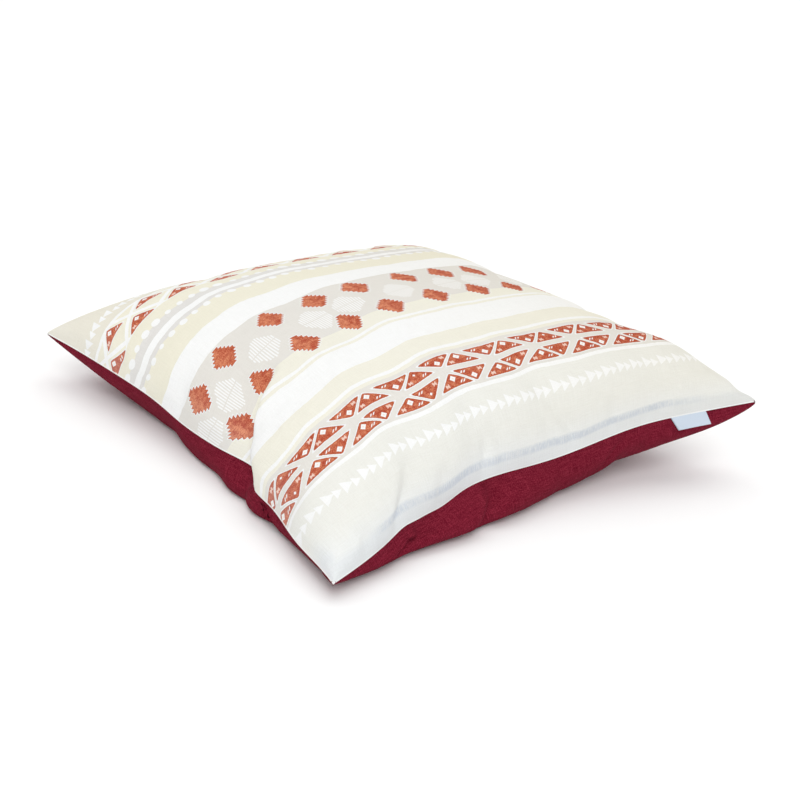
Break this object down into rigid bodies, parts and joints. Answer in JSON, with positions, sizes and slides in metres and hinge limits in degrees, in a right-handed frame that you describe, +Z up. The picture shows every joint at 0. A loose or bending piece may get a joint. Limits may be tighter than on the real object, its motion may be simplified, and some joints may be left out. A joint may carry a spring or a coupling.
{
  "type": "outdoor cushion",
  "caption": "Square filled outdoor cushion with a printed front panel, a plain burgundy back panel, a knife-edge seam and a blank label tape.",
  "frame": {"origin": "middle of the cushion's box, on the surface that it lies on", "axes": "+Z up, out of the printed front panel; +X along the front seam, towards the corner by the label; +Y from the front seam to the back seam"},
  "size_m": [0.42, 0.4214, 0.1268],
  "materials": {
    "printed_canvas": "matt plain-woven outdoor canvas, printed with stripes, triangles and stepped diamonds in cream, white, greige and rust",
    "burgundy_canvas": "matt plain-woven outdoor canvas, solid burgundy with a faint heather",
    "label_tape": "smooth woven tape, pale blue-grey, blank"
  },
  "bodies": {
    "root": {"cushion_body": "burgundy_canvas", "front_panel": "printed_canvas", "label": "label_tape"}
  },
  "joints": []
}
